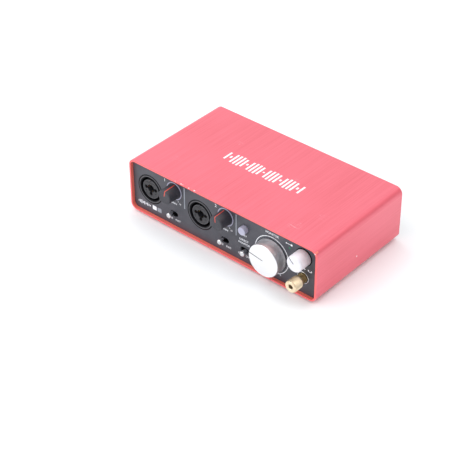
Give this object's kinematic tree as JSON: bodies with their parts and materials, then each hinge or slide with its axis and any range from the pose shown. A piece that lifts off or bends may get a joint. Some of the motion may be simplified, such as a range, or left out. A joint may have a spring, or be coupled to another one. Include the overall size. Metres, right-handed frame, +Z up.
{
  "type": "audio interface",
  "caption": "Desktop recording interface in an extruded metal sleeve, with combined inputs, gain and level knobs, switches and a plugged-in headphone adapter.",
  "frame": {"origin": "under the middle of the overall box, on the surface that the feet stand on", "axes": "+X to the right seen from the front, +Y from the front panel to the rear panel, +Z up"},
  "size_m": [0.175, 0.1112, 0.0459],
  "materials": {
    "red_sleeve": "red anodised, finely brushed from front to back",
    "black_fascia": "black anodised, fine satin",
    "black_plastic": "moulded, satin",
    "grey_plastic": "moulded, satin",
    "soft_knob": "soft-touch",
    "pointer": "moulded inlay",
    "silver_knob": "turned, fine concentric lines",
    "steel": "plated",
    "nickel": "nickel plated",
    "gilt_brass": "gilt, knurled",
    "clear_diffuser": "translucent, frosted",
    "circuit_board": "solder mask",
    "component": "moulded package",
    "foot_rubber": "moulded"
  },
  "bodies": {
    "chassis": {"audio_chips": "component", "board_header": "black_plastic", "capacitors": "component", "case_sleeve": "red_sleeve", "control_board": "circuit_board", "direct_monitor_switch_body": "black_plastic", "front_fascia": "black_fascia", "front_leds": "component", "front_subpanel": "black_plastic", "gain_halo_1": "clear_diffuser", "gain_halo_2": "clear_diffuser", "gain_pot_1": "steel", "gain_pot_2": "steel", "headphone_jack": "black_plastic", "headphone_pot": "steel", "input_jack_1_contacts": "gilt_brass", "input_jack_1_core": "grey_plastic", "input_jack_1_shell": "black_plastic", "input_jack_2_contacts": "gilt_brass", "input_jack_2_core": "grey_plastic", "input_jack_2_shell": "black_plastic", "instrument_switch_1_body": "black_plastic", "instrument_switch_2_body": "black_plastic", "line_output_1": "black_plastic", "line_output_2": "black_plastic", "line_output_nuts": "nickel", "lock_slot_plate": "steel", "main_board": "circuit_board", "monitor_pot": "steel", "phantom_switch_body": "black_plastic", "rear_panel": "black_fascia", "rear_panel_screws": "steel", "rubber_feet": "foot_rubber", "socket_contacts": "gilt_brass", "subpanel_screws": "steel", "usb_light_pipe": "clear_diffuser", "usb_socket_shell": "nickel", "usb_socket_tongue": "black_plastic"},
    "gain_control_1": {"gain_knob_1": "soft_knob", "gain_knob_1_pointer": "pointer", "gain_pot_1_shaft": "steel"},
    "instrument_selector_1": {"instrument_switch_1_lever": "nickel"},
    "gain_control_2": {"gain_knob_2": "soft_knob", "gain_knob_2_pointer": "pointer", "gain_pot_2_shaft": "steel"},
    "instrument_selector_2": {"instrument_switch_2_lever": "nickel"},
    "monitor_control": {"monitor_knob": "silver_knob", "monitor_knob_hub": "black_plastic", "monitor_pot_shaft": "steel"},
    "headphone_control": {"headphone_knob": "silver_knob", "headphone_pot_shaft": "steel"},
    "direct_monitor_selector": {"direct_monitor_switch_lever": "nickel"},
    "phantom_key": {"phantom_button": "clear_diffuser", "phantom_switch_plunger": "black_plastic"},
    "adapter_plug": {"adapter_barrel": "gilt_brass", "adapter_plug_sleeve": "gilt_brass", "adapter_plug_ring": "gilt_brass", "adapter_plug_tip": "gilt_brass", "adapter_insulators": "black_plastic"}
  },
  "joints": [
    {"name": "gain_turn_1", "type": "hinge", "parent": "chassis", "child": "gain_control_1", "pos_m": [-0.04514, -0.04145, 0.03395], "axis": [0, 1, 0], "range_deg": [-160, 140]},
    {"name": "gain_turn_2", "type": "hinge", "parent": "chassis", "child": "gain_control_2", "pos_m": [0.00396, -0.04145, 0.03395], "axis": [0, 1, 0], "range_deg": [-144, 156]},
    {"name": "monitor_turn", "type": "hinge", "parent": "chassis", "child": "monitor_control", "pos_m": [0.04636, -0.04145, 0.02195], "axis": [0, 1, 0], "range_deg": [-69, 231]},
    {"name": "headphone_turn", "type": "hinge", "parent": "chassis", "child": "headphone_control", "pos_m": [0.0742, -0.04145, 0.03395], "axis": [0, 1, 0], "range_deg": [-104, 196]},
    {"name": "instrument_slide_1", "type": "slide", "parent": "chassis", "child": "instrument_selector_1", "axis": [1, 0, 0], "range_m": [0, 0.0028]},
    {"name": "instrument_slide_2", "type": "slide", "parent": "chassis", "child": "instrument_selector_2", "axis": [1, 0, 0], "range_m": [0, 0.0028]},
    {"name": "direct_monitor_slide", "type": "slide", "parent": "chassis", "child": "direct_monitor_selector", "axis": [1, 0, 0], "range_m": [-0.0028, 0]},
    {"name": "phantom_press", "type": "slide", "parent": "chassis", "child": "phantom_key", "axis": [0, 1, 0], "range_m": [0, 0.002], "stiffness_N_per_m": 500, "springref_m": -0.002},
    {"name": "adapter_pull", "type": "slide", "parent": "chassis", "child": "adapter_plug", "axis": [0, -1, 0], "range_m": [0, 0.04]}
  ]
}
